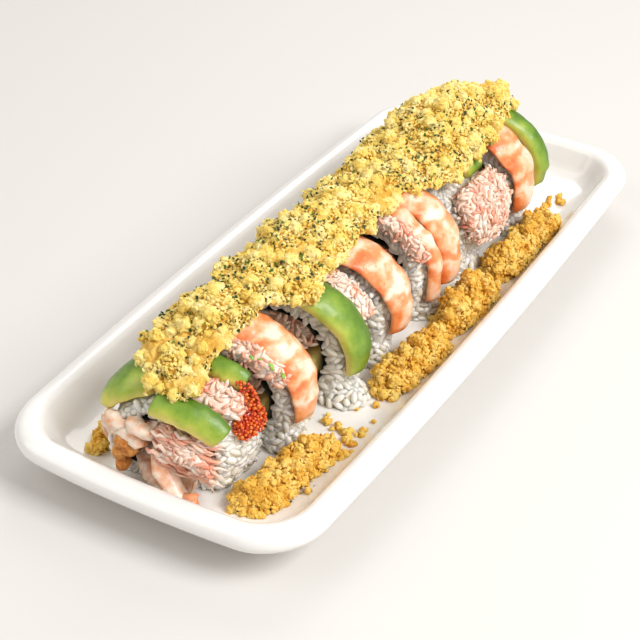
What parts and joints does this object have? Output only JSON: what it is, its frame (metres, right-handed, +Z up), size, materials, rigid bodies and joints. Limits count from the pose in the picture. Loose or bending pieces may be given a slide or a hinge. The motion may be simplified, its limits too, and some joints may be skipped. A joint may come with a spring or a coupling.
{
  "type": "uramaki roll on plate",
  "caption": "Sliced inside-out sushi roll with shrimp, crab and avocado over rice, a ridge of crunch flakes and loose crumbs, served on a long white plate.",
  "frame": {"origin": "middle of the plate's foot, on the table", "axes": "+Z up, +Y along the roll from its near cut to its far end, +X to the side with the loose crumbs"},
  "size_m": [0.1198, 0.2796, 0.0644],
  "materials": {
    "glazed_porcelain": "white glazed porcelain",
    "rice": "moist cooked rice",
    "nori": "dark seaweed sheet",
    "crab": "shredded crab, white and pink",
    "shrimp": "cooked shrimp, white with orange bands",
    "avocado": "ripe avocado flesh",
    "roe": "orange-red fish roe",
    "tempura": "browned fried batter",
    "flakes": "pale fried batter flakes with dried herb",
    "crumbs": "golden fried batter crumbs"
  },
  "bodies": {
    "root": {"avocado_back_1": "avocado", "avocado_filling_2": "avocado", "avocado_filling_3": "avocado", "avocado_filling_4": "avocado", "avocado_filling_5": "avocado", "avocado_filling_6": "avocado", "avocado_filling_7": "avocado", "avocado_front_1": "avocado", "avocado_left_1": "avocado", "avocado_top_3": "avocado", "avocado_top_6": "avocado", "avocado_top_7": "avocado", "crab_filling_1": "crab", "crab_filling_2": "crab", "crab_filling_3": "crab", "crab_filling_4": "crab", "crab_filling_5": "crab", "crab_filling_6": "crab", "crab_filling_7": "crab", "crab_top_1": "crab", "crab_top_2": "crab", "crab_top_3": "crab", "crab_top_5": "crab", "crab_top_6": "crab", "crumbs_end": "crumbs", "crumbs_far": "crumbs", "crumbs_left": "crumbs", "crumbs_mid": "crumbs", "crumbs_near": "crumbs", "flake_ridge": "flakes", "nori_1": "nori", "nori_2": "nori", "nori_3": "nori", "nori_4": "nori", "nori_5": "nori", "nori_6": "nori", "nori_7": "nori", "plate": "glazed_porcelain", "rice_1": "rice", "rice_2": "rice", "rice_3": "rice", "rice_4": "rice", "rice_5": "rice", "rice_6": "rice", "rice_7": "rice", "roe_top_1": "roe", "shrimp_filling_1": "shrimp", "shrimp_strip_5": "shrimp", "shrimp_top_2": "shrimp", "shrimp_top_4": "shrimp", "shrimp_top_5": "shrimp", "shrimp_top_7": "shrimp", "tempura_front_1": "tempura"}
  },
  "joints": []
}
